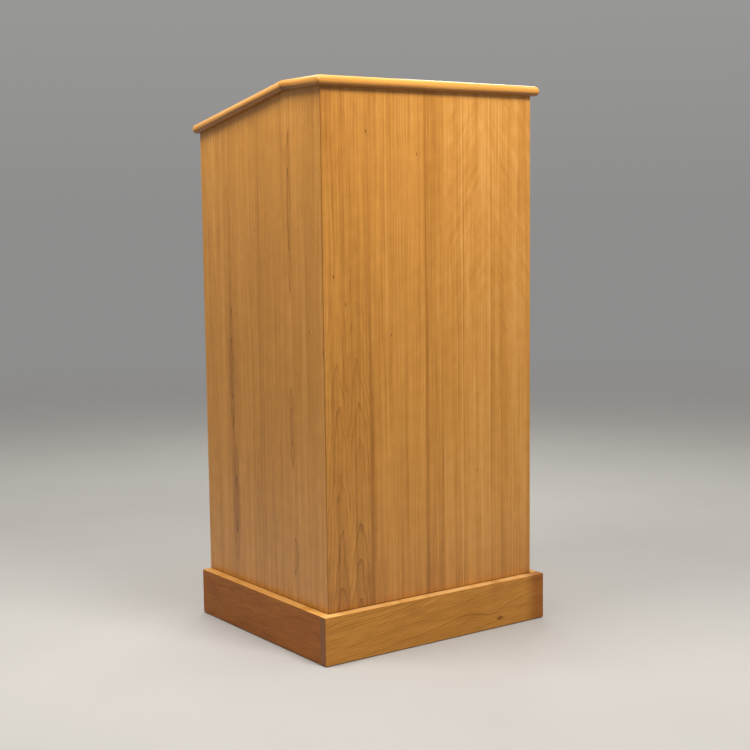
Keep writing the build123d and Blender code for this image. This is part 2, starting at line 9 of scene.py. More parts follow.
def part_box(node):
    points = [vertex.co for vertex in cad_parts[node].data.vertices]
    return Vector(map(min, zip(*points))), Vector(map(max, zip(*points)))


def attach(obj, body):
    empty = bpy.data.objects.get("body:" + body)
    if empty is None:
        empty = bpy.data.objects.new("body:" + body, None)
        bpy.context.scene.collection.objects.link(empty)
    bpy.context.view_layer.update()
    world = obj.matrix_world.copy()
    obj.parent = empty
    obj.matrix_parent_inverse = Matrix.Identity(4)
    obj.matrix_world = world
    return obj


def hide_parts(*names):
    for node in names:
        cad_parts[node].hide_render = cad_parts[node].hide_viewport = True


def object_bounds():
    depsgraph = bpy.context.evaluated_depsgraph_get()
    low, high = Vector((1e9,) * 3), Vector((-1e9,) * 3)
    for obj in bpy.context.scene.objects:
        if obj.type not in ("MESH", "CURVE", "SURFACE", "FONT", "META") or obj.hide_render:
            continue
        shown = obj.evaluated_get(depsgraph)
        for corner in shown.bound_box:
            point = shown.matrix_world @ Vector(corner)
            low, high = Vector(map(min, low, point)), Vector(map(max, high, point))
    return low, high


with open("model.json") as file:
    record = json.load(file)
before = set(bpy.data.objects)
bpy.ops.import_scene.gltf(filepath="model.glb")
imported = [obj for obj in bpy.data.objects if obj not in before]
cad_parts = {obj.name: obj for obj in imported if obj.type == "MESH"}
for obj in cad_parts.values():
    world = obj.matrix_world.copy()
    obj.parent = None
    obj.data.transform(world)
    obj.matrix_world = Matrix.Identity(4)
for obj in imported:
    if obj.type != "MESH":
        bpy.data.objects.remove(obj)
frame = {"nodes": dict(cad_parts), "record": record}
cad_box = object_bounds()

# The presentation lectern's looks: clear satin-varnished cherry, veneered panels and solid
# boards, with brass butt hinges. Metres, in the CAD frame: the audience looks at the face on
# -Y, the speaker stands on +Y, and +Z is up.

# ---------------------------------------------------------------- places from the frame
MM = 0.001
X, Y, Z = Vector((1, 0, 0)), Vector((0, 1, 0)), Vector((0, 0, 1))
SIDE_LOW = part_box("left_side_panel")[0]
PLINTH_LOW, PLINTH_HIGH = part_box("plinth_front")
CABINET_LEFT = SIDE_LOW.x
CABINET_RIGHT = -SIDE_LOW.x
CABINET_FRONT = SIDE_LOW.y
CABINET_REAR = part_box("left_rear_lipping")[1].y
PLINTH_TOP = PLINTH_HIGH.z
PLINTH_LEFT = PLINTH_LOW.x
PLINTH_FRONT = PLINTH_LOW.y
MOUNTS = {mount["name"]: mount for mount in frame["record"]["mounts"]}
SLOPE_NORMAL = Vector(MOUNTS["reading_surface"]["axis"])
SLOPE = atan2(SLOPE_NORMAL.y, SLOPE_NORMAL.z)
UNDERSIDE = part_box("level_top_panel")[0].z
TOP_THICKNESS = cad_box[1].z - UNDERSIDE
NOSE = TOP_THICKNESS / 2
EDGING_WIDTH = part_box("top_front_nosing")[1].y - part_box("top_front_nosing")[0].y
TOP_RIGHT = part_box("top_front_nosing")[1].x
BREAK_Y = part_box("top_left_slope_nosing")[0].y
REAR_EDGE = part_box("top_rear_nosing")[1].y
LEVEL_LENGTH = BREAK_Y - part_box("top_front_nosing")[0].y
SLOPE_LENGTH = (REAR_EDGE - NOSE - BREAK_Y - NOSE * sin(SLOPE)) / cos(SLOPE) + NOSE
BREAK = (0, BREAK_Y, UNDERSIDE)
DOWN_SLOPE = Vector((0, cos(SLOPE), -sin(SLOPE)))
SLOPE_UP = Vector((0, sin(SLOPE), cos(SLOPE)))


# ---------------------------------------------------------------- node trees
# The places of a Mix node's colours among its sockets, which share their names.
MIX_A, MIX_B, MIX_RESULT = 6, 7, 2


class Signal:
    """A number that varies over a surface, so that a grain can be written as a formula."""

    def __init__(self, graph, socket):
        self.graph = graph
        self.socket = socket

    def __add__(self, other):
        return self.graph.math("ADD", self, other)

    __radd__ = __add__

    def __sub__(self, other):
        return self.graph.math("SUBTRACT", self, other)

    def __rsub__(self, other):
        return self.graph.math("SUBTRACT", other, self)

    def __mul__(self, other):
        return self.graph.math("MULTIPLY", self, other)

    __rmul__ = __mul__

    def __truediv__(self, other):
        return self.graph.math("DIVIDE", self, other)

    def __pow__(self, other):
        return self.graph.math("POWER", self, other)


class Graph:
    """One material's node tree, with a short call for each kind of node used here."""

    def __init__(self, name):
        self.material = bpy.data.materials.new(name)
        self.material.use_nodes = True
        self.nodes = self.material.node_tree.nodes
        self.links = self.material.node_tree.links
        self.nodes.clear()
        place = self.add("ShaderNodeTexCoord")
        self.place = place.outputs["Object"]
        self.normal = place.outputs["Normal"]

    def add(self, kind, values=None, **settings):
        node = self.nodes.new(kind)
        for name, value in settings.items():
            setattr(node, name, value)
        for name, value in (values or {}).items():
            self.feed(node.inputs[name], value)
        return node

    def feed(self, socket, value):
        if isinstance(value, Signal):
            value = value.socket
        if isinstance(value, bpy.types.NodeSocket):
            self.links.new(value, socket)
        else:
            socket.default_value = value

    def math(self, operation, a, b=0.0, c=0.0):
        node = self.add("ShaderNodeMath", {0: a, 1: b, 2: c}, operation=operation)
        return Signal(self, node.outputs[0])

    def along(self, direction, vector=None):
        """How far a point (or another vector) reaches along a direction."""
        node = self.add(
            "ShaderNodeVectorMath",
            {0: vector or self.place, 1: tuple(direction)},
            operation="DOT_PRODUCT",
        )
        return Signal(self, node.outputs["Value"])

    def noise(self, u, v, w=0.0, detail=2.0, roughness=0.5):
        """Smooth noise from -1 to 1 over three signals that count its waves."""
        at = self.add("ShaderNodeCombineXYZ", {0: u, 1: v, 2: w})
        node = self.add(
            "ShaderNodeTexNoise",
            {"Vector": at.outputs[0], "Scale": 1.0, "Detail": detail, "Roughness": roughness},
        )
        return Signal(self, node.outputs[0]) * 2.0 - 1.0

    def speckle(self, x_waves, y_waves, z_waves, detail):
        """Noise from -1 to 1 in the part's own axes, with so many waves a metre along each."""
        return self.noise(
            self.along(X) * x_waves, self.along(Y) * y_waves, self.along(Z) * z_waves, detail
        )

    def step(self, value, low, high):
        """0 below low, 1 above high, with a soft turn between; low may be above high."""
        node = self.add(
            "ShaderNodeMapRange",
            {"Value": value, "From Min": low, "From Max": high},
            interpolation_type="SMOOTHSTEP",
        )
        return Signal(self, node.outputs[0])

    def ridge(self, value, centre, width):
        """1 at the centre, falling to 0 a width away on both sides."""
        off = self.math("ABSOLUTE", value - centre)
        return self.step(off, width, 0.0)

    def ramp(self, value, *stops):
        node = self.add("ShaderNodeValToRGB", {"Fac": value})
        elements = node.color_ramp.elements
        while len(elements) < len(stops):
            elements.new(0.5)
        for element, (position, colour) in zip(elements, stops):
            element.position = position
            element.color = (*colour, 1.0)
        return node.outputs["Color"]

    def blend(self, factor, a, b):
        """Colour a where factor is 0 and colour b where it is 1."""
        node = self.add(
            "ShaderNodeMix", {"Factor": factor, MIX_A: a, MIX_B: b}, data_type="RGBA"
        )
        return node.outputs[MIX_RESULT]

    def finish(self, colour, relief, relief_height, roughness, **sockets):
        """The shader: relief is a signal, or None for a flat surface; sockets are constants."""
        shader = self.add(
            "ShaderNodeBsdfPrincipled", {"Base Color": colour, "Roughness": roughness}
        )
        for name, value in sockets.items():
            shader.inputs[name.replace("_", " ")].default_value = value
        if relief is not None:
            bump = self.add(
                "ShaderNodeBump", {"Height": relief, "Strength": 1.0, "Distance": relief_height}
            )
            self.links.new(bump.outputs["Normal"], shader.inputs["Normal"])
        output = self.add("ShaderNodeOutputMaterial")
        self.links.new(shader.outputs["BSDF"], output.inputs["Surface"])
        self.shader = shader
        return self.material


# ---------------------------------------------------------------- cherry
# Linear colours, from the dark lines of the figure to the palest wood between them.
CHERRY = (
    (0.00, (0.120, 0.040, 0.004)),
    (0.30, (0.335, 0.128, 0.015)),
    (0.55, (0.555, 0.243, 0.042)),
    (0.80, (0.735, 0.390, 0.120)),
    (1.00, (0.870, 0.580, 0.270)),
)
RED_CHERRY = (
    (0.00, (0.055, 0.011, 0.002)),
    (0.30, (0.185, 0.047, 0.007)),
    (0.55, (0.330, 0.105, 0.014)),
    (0.80, (0.490, 0.185, 0.030)),
    (1.00, (0.620, 0.290, 0.080)),
)
END_GRAIN = ((0.00, (0.170, 0.062, 0.022)), (1.00, (0.330, 0.140, 0.052)))
POPLAR = (
    (0.00, (0.220, 0.130, 0.070)),
    (0.50, (0.500, 0.340, 0.200)),
    (1.00, (0.700, 0.540, 0.360)),
)
VARNISH = {"Coat_Weight": 1.0, "Coat_Roughness": 0.30, "Specular_IOR_Level": 0.0}
EDGING_VARNISH = {"Coat_Weight": 1.0, "Coat_Roughness": 0.11, "Specular_IOR_Level": 0.0}
RUBBED_VARNISH = {"Coat_Weight": 0.35, "Coat_Roughness": 0.48, "Specular_IOR_Level": 0.0}
PLINTH_VARNISH = {"Coat_Weight": 0.40, "Coat_Roughness": 0.30, "Specular_IOR_Level": 0.0}

# Under the varnish: its roughness at a middle tone, and how much rougher dark wood is.
SATIN = 0.42
DARK_IS_ROUGHER = 0.10
MIDDLE_TONE = 0.50
GRAIN_RELIEF = 0.06 * MM

# How deep each mark goes, as a share of the tone's range from 0 dark to 1 pale.
FIBRE_DEPTH = 0.07
PORE_DEPTH = 0.07
FAINT_ARCH = 0.04
BOLD_ARCH = 0.34
LINE_DEPTH = 0.12
SPECK_DEPTH = 0.36
LOOP_DEPTH = 0.58
# The painted shadow line where the panels meet the plinth:
FOOT_SHADOW_DEPTH = 0.38
MITRE_DEPTH = 0.22
CURL_DEPTH = 0.13


class Board(Graph):
    """A cherry surface: u runs across the grain, v along it and w into the wood, in metres."""

    def __init__(self, name, across, along, through, seed=0.0, origin=(0, 0, 0)):
        super().__init__(name)
        self.seed = seed
        start = Vector(origin)
        self.u = self.along(across) - start.dot(Vector(across))
        self.v = self.along(along) - start.dot(Vector(along))
        self.w = self.along(through) - start.dot(Vector(through))

    def rings(self, phase, sharpness=5.0, uneven=0.6):
        """Dark late-wood lines, one for each whole number of phase, some fainter than others."""
        fraction = self.math("FRACT", phase)
        line = fraction ** sharpness
        number = self.math("FLOOR", phase)
        strength = self.noise(number * 0.731 + self.seed, number * 0.377, detail=0.0)
        return line * (1.0 - uneven + uneven * self.math("ABSOLUTE", strength * 2.0))

    def straight(self, spacing):
        """Growth lines that run along the board, a spacing apart and never quite straight."""
        drift = self.noise(self.u * 9.0 + self.seed, self.v * 2.1, self.seed, detail=4.0)
        pace = self.noise(self.u * 28.0, self.v * 0.6, self.seed + 4.0, detail=3.0)
        fade = self.step(self.noise(self.u * 60.0, self.v * 2.5, self.seed + 8.0), -0.35, 0.35)
        return self.rings((self.u + drift * 4.0 * MM) / spacing + pace * 1.6) * fade

    def bands(self, waves, stretch, shift=0.0):
        """Soft streaks of lighter and darker wood: waves a metre across, stretch along."""
        return self.noise(
            self.u * waves + self.seed + shift, self.v * stretch, self.w * waves, detail=3.0,
            roughness=0.55,
        )

    def fibres(self):
        """Fine streaks of the fibres themselves."""
        coarse = self.noise(self.u * 420.0, self.v * 5.0, self.w * 420.0 + self.seed, detail=2.0)
        fine = self.noise(self.u * 1500.0, self.v * 22.0, self.w * 1500.0 + self.seed, detail=1.0)
        return coarse * 0.6 + fine * 0.4

    def pores(self):
        """Short dark dashes of open pores, 1 in a pore and 0 between."""
        cut = self.noise(
            self.u * 2100.0, self.v * 120.0, self.w * 2100.0 + self.seed, detail=1.0
        )
        return self.step(cut, 0.28, 0.55)

    def ripple(self, lean, waves=26.0, stretch=7.0):
        """The shimmer of wavy fibres, in streaks that lean away from straight across."""
        crest = (self.v * cos(lean) + self.u * sin(lean)) * waves
        length = (self.u * cos(lean) - self.v * sin(lean)) * stretch
        return self.noise(crest, length, self.seed + 9.0, detail=2.0, roughness=0.6)

    def specks(self, places):
        """Small gum spots, longer along the grain; each place is (u, v, size) in mm."""
        total = 0.0
        for u, v, size in places:
            off_u = (self.u - u * MM) / (size * MM)
            off_v = (self.v - v * MM) / (size * 2.6 * MM)
            total = total + self.step(off_u * off_u + off_v * off_v, 1.0, 0.15)
        return total

    def gloss(self, tone):
        """Roughness under the varnish: pale wood is a little smoother."""
        return SATIN + (MIDDLE_TONE - tone) * DARK_IS_ROUGHER

    def varnished(self, tone, coat=VARNISH):
        """Finishes the board from its tone, 0 dark and 1 pale, with pores and a satin coat."""
        pores = self.pores()
        tone = tone + self.fibres() * FIBRE_DEPTH - pores * PORE_DEPTH
        return self.finish(
            self.ramp(tone, *CHERRY), tone - pores * 0.3, GRAIN_RELIEF, self.gloss(tone), **coat
        )

    def painted_top_light(self):
        """1 on faces that look up, where the wood is painted paler as painted light from above."""
        return self.step(self.along(Z, self.normal), 0.3, 0.9)

    def painted_foot_shadow(self):
        """1 in a painted shadow line just above the plinth, where an upright panel meets it."""
        return self.step(self.v, PLINTH_TOP + 3.0 * MM, PLINTH_TOP + 0.6 * MM)


# The straight figure: waves a metre across and along, a shift, and depth.
STREAKS = (
    (20.0, 0.45, 0.0, 0.11),
    (60.0, 1.1, 3.0, 0.14),
    (150.0, 2.2, 7.0, 0.14),
    (330.0, 5.0, 11.0, 0.13),
    (45.0, 28.0, 15.0, 0.07),
)

# The front's leaves of veneer: where each begins, in mm from the left edge, and its tone.
FRONT_LEAVES = (
    (0, 0.455), (112, 0.480), (180, 0.515), (254, 0.450), (300, 0.535), (350, 0.575),
    (425, 0.550), (489, 0.540),
)
FIRST_SEAM = FRONT_LEAVES[1][0]
SEAM_BLUR = 1.2
LEAF_SHIFT = 3.7

# Lines at the seams: where, how much paler (or darker, below 0) and half as wide, in mm.
SEAM_LINES = (
    (180, 0.08, 1.5), (254, -0.10, 6.0), (350, 0.16, 1.8), (354, -0.10, 2.2),
    (425, 0.16, 1.8), (429, -0.10, 2.2), (489, 0.10, 1.6),
)

# Columns of arches in the first leaf: the middle of each and how far it hangs below the first.
FLAME_PEAKS = ((34, 0), (80, -62))
FLAME_PITCH = 105.0

# Each spindle is (u, v, half width, half length) in mm and how many loops it has.
LEFT_SPINDLES = (
    (120, 566, 14, 225, 3.3), (128, 270, 16, 170, 2.6), (362, 915, 13, 250, 3.0),
    (358, 470, 12, 135, 3.2), (365, 200, 11, 90, 2.2),
)
RIGHT_SPINDLES = ((168, 610, 13, 290, 2.6), (345, 380, 12, 210, 2.4))

# Gum spots: (u, v, size) in mm.
FRONT_SPECKS = (
    (107, 1063, 1.8), (233, 1020, 1.7), (25, 778, 2.0), (53, 722, 1.7), (165, 655, 1.7),
    (390, 352, 1.6),
)
SIDE_SPECKS = ((226, 870, 1.8), (430, 667, 1.9), (275, 902, 1.5))


def flames(board, peaks, pitch):
    """Phase of a cathedral figure: nested arches that point up the board, a pitch (mm) apart."""
    nearest = None
    sway = board.noise(board.v * 3.1, board.seed, 0.0, detail=1.0) * 9.0 * MM
    wobble = board.noise(board.u * 60.0, board.v * 16.0, board.seed + 2.0, detail=4.0) * 6.5 * MM
    for u, drop in peaks:
        off = board.u - u * MM + wobble + sway
        round_tip = board.math("SQRT", off * off + (6.0 * MM) ** 2) * 6.0
        side = round_tip + off * off * 120.0 + drop * MM
        nearest = side if nearest is None else board.math("SMOOTH_MIN", nearest, side, 30.0 * MM)
    drift = board.noise(board.u * 11.0, board.v * 5.0, board.seed + 6.0, detail=4.0)
    return (board.v + nearest) / (pitch * MM) + drift * 1.6


def spindle(board, u, v, width, length, pitch):
    """Long closed loops round a point, as a cut skims a bump in the tree, and their reach."""
    wobble = board.noise(board.u * 60.0, board.v * 18.0, board.seed + 3.0, detail=4.0)
    sway = board.noise(board.v * 4.0, board.seed + u * 0.01, 0.0, detail=2.0)
    off_u = (board.u - u * MM + wobble * 5.0 * MM + sway * 7.0 * MM) / (width * MM)
    off_v = (board.v - v * MM) / (length * MM)
    uneven = board.noise(board.u * 30.0, board.v * 7.0, board.seed + 5.0, detail=2.0) * 0.14
    far = board.math("SQRT", off_u * off_u + off_v * off_v) + uneven
    reach = board.step(far, 1.0, 0.35)
    return board.rings(far * pitch, sharpness=5.0, uneven=0.4) * reach, reach


def streaks(board, shift=0.0):
    """The straight figure: soft bands and finer streaks, from 60 to 3 mm across, and mottle."""
    return sum(
        board.bands(waves, stretch, shift + offset) * depth
        for waves, stretch, offset, depth in STREAKS
    )


def leaves(board):
    """The front's tone leaf by leaf, and a shift that gives each leaf a figure of its own."""
    tone = FRONT_LEAVES[0][1]
    shift = 0.0
    for (_, before), (seam, after) in zip(FRONT_LEAVES, FRONT_LEAVES[1:]):
        past = board.step(board.u, (seam - SEAM_BLUR) * MM, (seam + SEAM_BLUR) * MM)
        tone = tone + past * (after - before)
        shift = shift + past * LEAF_SHIFT
    return tone, shift


def curl(board):
    """The front's upper right, where wavy fibres lean both ways from a line up the leaf."""
    turn = board.step(board.u, 0.385, 0.445)
    where = board.step(board.u, 0.29, 0.33) * board.step(board.v, 0.45, 0.85)
    left = board.ripple(radians(-58), 70.0, 9.0) * (1.0 - turn)
    right = board.ripple(radians(58), 70.0, 9.0) * turn
    return (left + right) * where


def front_veneer():
    """The audience's face: leaves of veneer side by side, with flames in the first of them."""
    board = Board(
        "cherry_front_veneer", X, Z, Y, seed=1.7, origin=(CABINET_LEFT, CABINET_FRONT, 0)
    )
    u, v = board.u, board.v
    tone, shift = leaves(board)
    tone = tone + streaks(board, shift) + board.ripple(radians(-30), 40.0, 14.0) * 0.03
    first_leaf = board.step(u, (FIRST_SEAM + 6) * MM, (FIRST_SEAM - 8) * MM)
    arches = board.rings(flames(board, FLAME_PEAKS, FLAME_PITCH), sharpness=9.0, uneven=0.8)
    tone = tone - arches * first_leaf * (FAINT_ARCH + BOLD_ARCH * board.step(v, 0.82, 0.42))
    straight = board.straight(8.5 * MM)
    tone = tone - straight * (1.0 - first_leaf) * LINE_DEPTH
    tone = tone - straight * first_leaf * board.step(v, 0.62, 0.90) * LINE_DEPTH * 1.25
    # A dark streak closes the first leaf low down, and lines mark some of the seams.
    sway = board.noise(v * 3.0, 0.0, 1.0) * 5.0 * MM
    streak = board.ridge(u + sway, FIRST_SEAM * MM, 8.0 * MM) * board.step(v, 0.85, 0.45)
    tone = tone - streak * 0.13
    for seam, paler, width in SEAM_LINES:
        tone = tone + board.ridge(u, seam * MM, width * MM) * paler
    tone = tone + curl(board) * CURL_DEPTH - board.specks(FRONT_SPECKS) * SPECK_DEPTH
    corner = board.step(u, 1.6 * MM, 0.6 * MM)
    # Painted shadow: a dark line at the panel's foot above the plinth; the corner gets its glue
    # line.
    tone = tone - board.painted_foot_shadow() * FOOT_SHADOW_DEPTH - corner * 0.15
    # The lowest quarter of the front is painted darker: painted shade.
    return board.varnished(tone - board.step(v, 0.26, 0.08) * 0.07)


def side_veneer(name, side, spindles):
    """A side face: quieter wood with long spindle figures; u runs from the rear edge."""
    origin = (side * CABINET_RIGHT, CABINET_REAR, 0)
    board = Board(name, -Y, Z, X * side, seed=5.2 + side, origin=origin)
    u, v = board.u, board.v
    front = CABINET_REAR - CABINET_FRONT
    tone = 0.52 + streaks(board) - board.straight(10.5 * MM) * 0.09
    for centre, half_width, depth in ((0.235, 0.075, 0.045), (0.125, 0.040, 0.030)):
        tone = tone - board.ridge(u, centre, half_width) * depth
    for place in spindles:
        loops, reach = spindle(board, *place)
        tone = tone - loops * LOOP_DEPTH - reach * 0.07
    tone = tone + board.ripple(radians(20), 34.0, 9.0) * 0.03 - board.specks(SIDE_SPECKS) * 0.30
    corner = board.step(u, front - 2.4 * MM, front - 1.0 * MM)
    chip = board.ridge(v, 0.63, 14.0 * MM) * board.ridge(u, front - 2.0 * MM, 3.0 * MM)
    # The foot is darkened by a painted shadow line above the plinth.
    return board.varnished(
        tone - corner * 0.26 - chip * 0.30 - board.painted_foot_shadow() * FOOT_SHADOW_DEPTH
    )


def plain_veneer(name, across, along, through, seed, tone=0.56, coat=VARNISH):
    """Straight-grained veneer for the faces that nobody chose a figure for."""
    board = Board(name, across, along, through, seed)
    tone = tone + streaks(board) - board.straight(10.5 * MM) * 0.075
    return board.varnished(tone + board.ripple(radians(-30)) * 0.03, coat)


def mitres(board, corner):
    """1 beside the glue lines at a moulding's two mitres, whose planes meet at a corner."""
    width, run, length = corner
    out = board.math("ABSOLUTE", board.along(X)) - width
    end = board.math("ABSOLUTE", length - board.along(run))
    return board.ridge(board.math("ABSOLUTE", out) - end, 0.0, 1.1 * MM)


def edging_tone(board, waves):
    """Bold streaks along a moulding, with its lower half painted darker as painted shade."""
    lines = board.noise(
        board.u * 230.0 + board.seed, board.v * waves, board.w * 230.0, detail=3.0, roughness=0.6
    )
    # Painted shade: the lower half of the nosing is darkened.
    painted_underside_shade = board.step(board.w + lines * 2.0 * MM, NOSE, NOSE - 7.0 * MM)
    return 0.61 + lines * 0.30 + board.bands(40.0, 1.6) * 0.08 - painted_underside_shade * 0.38


def moulding_wood(name, across, along, through, seed, corner):
    """Solid edging: bold streaks along its length, with a dark line at each mitre."""
    board = Board(name, across, along, through, seed, origin=BREAK)
    tone = edging_tone(board, 2.6) - mitres(board, corner) * MITRE_DEPTH
    return board.varnished(tone, EDGING_VARNISH)


def level_side_wood(corner):
    """The level side edging, with a knot's reddish swirl where it meets the slope."""
    board = Board("cherry_level_edging", X, Y, Z, 3.3, origin=BREAK)
    near = board.ridge(board.v, -8.0 * MM, 50.0 * MM)
    low = board.step(board.w, 12.0 * MM, 3.0 * MM)
    swirl = board.noise(board.v * 120.0, board.w * 160.0, 2.0, detail=3.0)
    # Near the break the lower part is darkened as well: a painted shadow under the knot.
    tone = edging_tone(board, 3.6) - near * (0.10 + 0.14 * swirl) - low * near * 0.12
    return board.varnished(tone - mitres(board, corner) * MITRE_DEPTH, EDGING_VARNISH)


PLINTH_LEAN = 0.13
KNOT_ALONG, KNOT_UP = 455.0 * MM, 21.0 * MM


def plinth_front_wood():
    """The front board: grain that sweeps up to the right, a small knot, and a redder end."""
    board = Board(
        "cherry_plinth_front", Z, X, Y, seed=8.1, origin=(PLINTH_LEFT, PLINTH_FRONT, 0)
    )
    u, v, w = board.u, board.v, board.w
    sweep = board.noise(v * 5.0, u * 8.0, 3.0, detail=2.0) * 16.0 * MM
    off_v = (v - KNOT_ALONG) / (70.0 * MM)
    off_u = (u - KNOT_UP) / (34.0 * MM)
    near = board.math("SQRT", off_v * off_v + off_u * off_u)
    bulge = board.step(near, 1.6, 0.0) * 16.0 * MM
    leaning = u - v * PLINTH_LEAN
    growth = board.rings((leaning + sweep + bulge) / (6.2 * MM), sharpness=2.5, uneven=0.9)
    tone = 0.50 - growth * 0.22
    tone = tone + board.noise(u * 60.0, v * 6.0, w * 60.0, detail=3.0) * 0.11
    tone = tone + board.noise(leaning * 300.0, v * 24.0, w * 300.0, detail=3.0) * 0.14
    tone = tone + board.ripple(radians(78), 30.0, 8.0) * 0.05
    ragged = board.noise(v * 260.0, u * 260.0, 5.0, detail=3.0) * 0.10
    tone = tone - board.step(near + ragged, 0.16, 0.05) * 0.38
    smudge = board.ridge(v, 0.375, 50.0 * MM) * board.ridge(u, 45.0 * MM, 30.0 * MM)
    tone = tone - smudge * 0.06
    above_knot = board.ridge(v, 0.445, 30.0 * MM) * board.step(u, 50.0 * MM, 90.0 * MM)
    red = board.step(v, 0.525, 0.565) * 0.8 + above_knot * 0.3
    # The top face is painted paler here: painted light from above.
    shade = tone + board.painted_top_light() * 0.32 + board.fibres() * FIBRE_DEPTH - board.pores() * PORE_DEPTH
    colour = board.blend(red, board.ramp(shade, *CHERRY), board.ramp(tone, *RED_CHERRY))
    facing_out = board.math("ABSOLUTE", board.along(X, board.normal))
    rays = board.noise(board.along(Y) * 700.0, u * 260.0, 0.0, detail=3.0)
    colour = board.blend(
        board.step(facing_out, 0.80, 0.95), colour, board.ramp(0.45 + rays * 0.3, *END_GRAIN)
    )
    return board.finish(colour, shade, GRAIN_RELIEF, board.gloss(tone), **PLINTH_VARNISH)


def plinth_side_wood(name, seed):
    """A side board: darker, redder wood with mottled figure."""
    board = Board(name, Z, Y, X, seed)
    u, v, w = board.u, board.v, board.w
    sweep = board.noise(v * 6.0, u * 10.0, seed, detail=3.0) * 12.0 * MM
    leaning = u + v * 0.06
    tone = 0.54 - board.rings((leaning + sweep) / (7.0 * MM), sharpness=3.0, uneven=0.9) * 0.16
    tone = tone + board.noise(leaning * 280.0, v * 26.0, w * 280.0, detail=3.0) * 0.16
    tone = tone + board.noise(u * 70.0, v * 9.0, w * 70.0, detail=4.0, roughness=0.65) * 0.12
    tone = tone + board.noise(u * 25.0, v * 14.0, seed, detail=3.0) * 0.08
    face = board.ramp(tone + board.fibres() * FIBRE_DEPTH, *RED_CHERRY)
    # The top faces take a paler copy of the wood: painted light from above.
    colour = board.blend(board.painted_top_light(), face, board.ramp(tone + 0.15, *CHERRY))
    return board.finish(colour, tone, GRAIN_RELIEF, board.gloss(tone), **PLINTH_VARNISH)


def bare_wood(name):
    """Unfinished poplar, for what only the cabinetmaker sees."""
    board = Board(name, X + Z * 0.3, Y + Z * 0.2, Z, 2.0)
    tone = 0.62 + board.bands(60.0, 2.0) * 0.12 + board.fibres() * 0.06
    return board.finish(board.ramp(tone, *POPLAR), tone, 0.1 * MM, 0.7)


# ---------------------------------------------------------------- metal and plastic
def metal(name, dark, light, roughness, brushed):
    """Plated or polished metal with faint draw lines and handling marks."""
    graph = Graph(name)
    lines = graph.speckle(*brushed, detail=3.0)
    marks = graph.speckle(90.0, 90.0, 90.0, detail=4.0)
    colour = graph.ramp(0.55 + 0.3 * lines + 0.3 * marks, (0.1, dark), (0.8, light))
    return graph.finish(colour, lines, 0.02 * MM, roughness + 0.08 * marks, Metallic=1.0)


def moulded(name, dark, light, grain):
    """Moulded plastic with a fine spark-eroded texture."""
    graph = Graph(name)
    texture = graph.speckle(grain, grain, grain, detail=3.0)
    wide = graph.speckle(40.0, 40.0, 40.0, detail=2.0)
    colour = graph.ramp(0.5 + 0.25 * wide + 0.2 * texture, (0.0, dark), (1.0, light))
    return graph.finish(colour, texture, 0.08 * MM, 0.5 + 0.06 * texture)


def dress(material, *names):
    """Gives CAD nodes their material."""
    for name in names:
        for material_slot in frame["nodes"][name].material_slots:
            material_slot.material = material


# ---------------------------------------------------------------- edging of the top
NOSE_STEPS = 28
CORNER_RADIUS = 6 * MM
CORNER_STEPS = 6
EASED_EDGE = 1.2 * MM
SHARP_EDGE = radians(30)
WELD = 0.01 * MM


def level_place(x, b, h):
    """A point b in front of the break and h above the underside of the level part."""
    return Vector((x, BREAK_Y - b, UNDERSIDE + h))


def slope_place(x, b, h):
    """A point b down the slope from the break and h above its underside."""
    return Vector((x, BREAK_Y, UNDERSIDE)) + DOWN_SLOPE * b + SLOPE_UP * h


def edging_section(eased):
    """The section as (inset from the outermost line, height) points, in order round it."""
    section = [(EDGING_WIDTH, 0.0), (EDGING_WIDTH, TOP_THICKNESS - eased)]
    if eased:
        section.append((EDGING_WIDTH - eased, TOP_THICKNESS))
    for step in range(NOSE_STEPS + 1):
        turn = pi * step / NOSE_STEPS
        section.append((NOSE * (1 - sin(turn)), NOSE * (1 + cos(turn))))
    return section


def corner_stations(section):
    """Rings from the straight run to the mitre; a point is (inset, inset from the next run, h)."""
    rings = []
    for step in range(CORNER_STEPS + 1):
        turn = pi / 4 * step / CORNER_STEPS
        ring = []
        for inset, height in section:
            swing = max(CORNER_RADIUS - inset, 0.0)
            reach = max(CORNER_RADIUS, inset)
            ring.append((reach - swing * cos(turn), reach - swing * sin(turn), height))
        rings.append(ring)
    return rings


def loft(name, rings, material):
    """Skins closed rings of points and caps both ends."""
    mesh = bpy.data.meshes.new(name)
    shape = bmesh.new()
    rows = [[shape.verts.new(point) for point in ring] for ring in rings]
    for row, following in zip(rows, rows[1:]):
        for index in range(len(row)):
            after = (index + 1) % len(row)
            shape.faces.new((row[index], row[after], following[after], following[index]))
    shape.faces.new(reversed(rows[0]))
    shape.faces.new(rows[-1])
    bmesh.ops.remove_doubles(shape, verts=shape.verts, dist=WELD)
    bmesh.ops.dissolve_degenerate(shape, edges=shape.edges, dist=WELD)
    bmesh.ops.recalc_face_normals(shape, faces=shape.faces)
    shape.to_mesh(mesh)
    shape.free()
    for polygon in mesh.polygons:
        polygon.use_smooth = True
    mesh.set_sharp_from_angle(angle=SHARP_EDGE)
    mesh.materials.append(material)
    piece = bpy.data.objects.new(name, mesh)
    bpy.context.collection.objects.link(piece)
    return piece


def finish_edging(piece, node):
    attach(piece, "cabinet")
    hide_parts(node)


